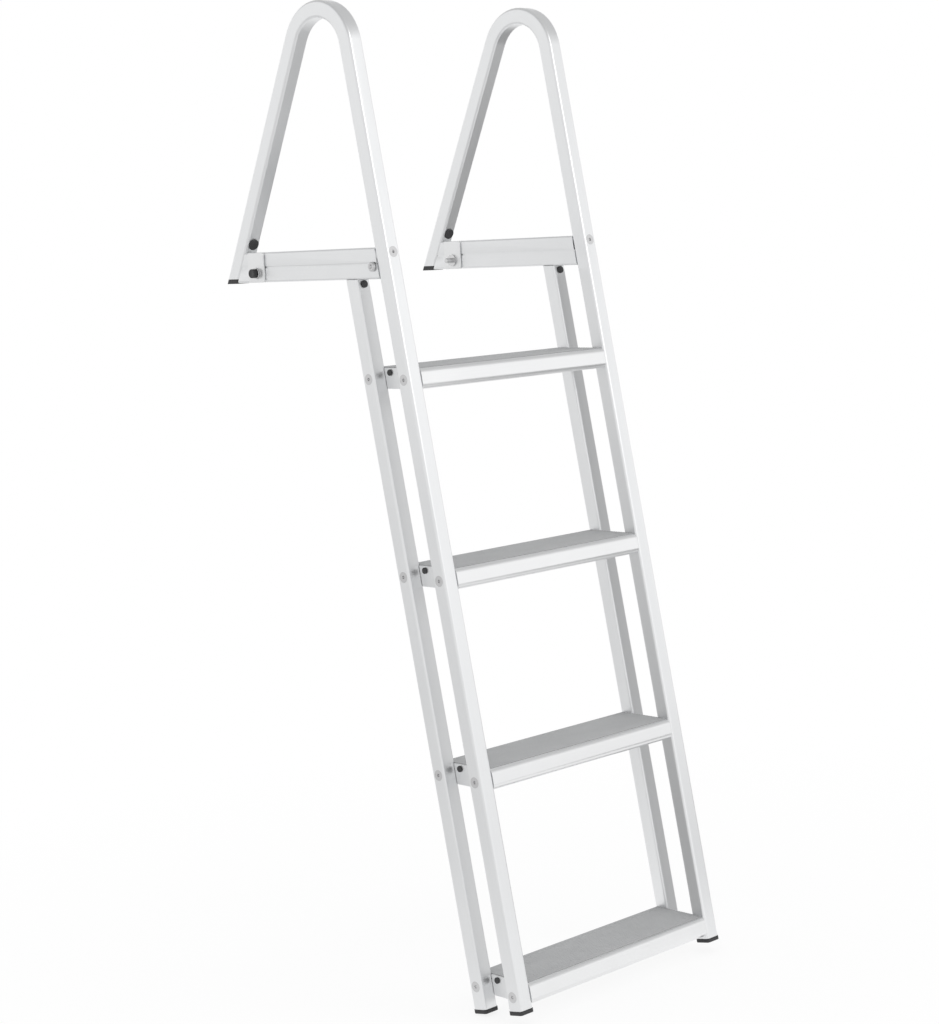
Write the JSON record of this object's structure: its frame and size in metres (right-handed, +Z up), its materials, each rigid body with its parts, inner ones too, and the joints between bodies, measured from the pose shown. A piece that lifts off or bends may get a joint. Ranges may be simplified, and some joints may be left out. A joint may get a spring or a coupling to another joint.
{
  "type": "boat boarding ladder",
  "caption": "Boarding ladder that hangs on a deck edge: square rail pairs, grip-topped hollow steps, and bent handrail hooks over deck bars with sprung release pins.",
  "frame": {"origin": "on the deck plane, midway between the two sides, on the front rails' axis", "axes": "+X to the right across the ladder as a climber facing it sees it, +Y inboard over the deck, +Z up"},
  "size_m": [0.46, 0.5678, 1.4644],
  "materials": {
    "rail_tube": "satin anodised tube, fine marks along its length",
    "bar_extrusion": "satin anodised extrusion",
    "step_extrusion": "satin anodised extrusion with a bright nose",
    "insert_alloy": "machined",
    "plate_alloy": "tumbled plate",
    "grip_rubber": "ribbed grey grip, dull",
    "black_cap": "moulded black, fine grain",
    "black_knob": "moulded black",
    "pin_steel": "turned stainless steel",
    "fastener_steel": "stainless screw heads",
    "spring_wire": "drawn stainless wire"
  },
  "bodies": {
    "ladder": {"front_rail_left": "rail_tube", "front_rail_right": "rail_tube", "rear_rail_left": "rail_tube", "rear_rail_right": "rail_tube", "deck_bar_left": "bar_extrusion", "deck_bar_right": "bar_extrusion", "front_insert_left": "insert_alloy", "front_insert_right": "insert_alloy", "rear_insert_left": "insert_alloy", "rear_insert_right": "insert_alloy", "rail_top_insert_left": "insert_alloy", "rail_top_insert_right": "insert_alloy", "front_foot_left": "black_cap", "front_foot_right": "black_cap", "rear_foot_left": "black_cap", "rear_foot_right": "black_cap", "leg_foot_left": "black_cap", "leg_foot_right": "black_cap", "cheek_plate_inner_left": "plate_alloy", "cheek_plate_inner_right": "plate_alloy", "cheek_plate_outer_left": "plate_alloy", "cheek_plate_outer_right": "plate_alloy", "pin_housing_left": "pin_steel", "pin_housing_right": "pin_steel", "housing_cap_left": "pin_steel", "housing_cap_right": "pin_steel", "pin_spring_left": "spring_wire", "pin_spring_right": "spring_wire", "step_1": "step_extrusion", "grip_pad_1": "grip_rubber", "step_2": "step_extrusion", "grip_pad_2": "grip_rubber", "step_3": "step_extrusion", "grip_pad_3": "grip_rubber", "step_4": "step_extrusion", "grip_pad_4": "grip_rubber", "step_screws": "fastener_steel", "step_sleeves": "insert_alloy", "rail_screws": "fastener_steel", "leg_screws": "fastener_steel", "joint_sleeves": "insert_alloy", "down_screws": "fastener_steel", "down_sleeves": "insert_alloy", "cross_screws": "fastener_steel", "cap_screws": "black_knob", "leg_plugs": "black_cap", "end_plates": "plate_alloy", "end_screws": "black_knob"},
    "release_left": {"release_pin_left": "pin_steel", "pull_knob_left": "black_knob"},
    "release_right": {"release_pin_right": "pin_steel", "pull_knob_right": "black_knob"}
  },
  "joints": [
    {"name": "release_left_pull", "type": "slide", "parent": "ladder", "child": "release_left", "axis": [-1, 0, 0], "range_m": [0, 0.012], "stiffness_N_per_m": 500, "springref_m": -0.01, "deforming": ["pin_spring_left"]},
    {"name": "release_right_pull", "type": "slide", "parent": "ladder", "child": "release_right", "axis": [1, 0, 0], "range_m": [0, 0.012], "stiffness_N_per_m": 500, "springref_m": -0.01, "deforming": ["pin_spring_right"]}
  ]
}
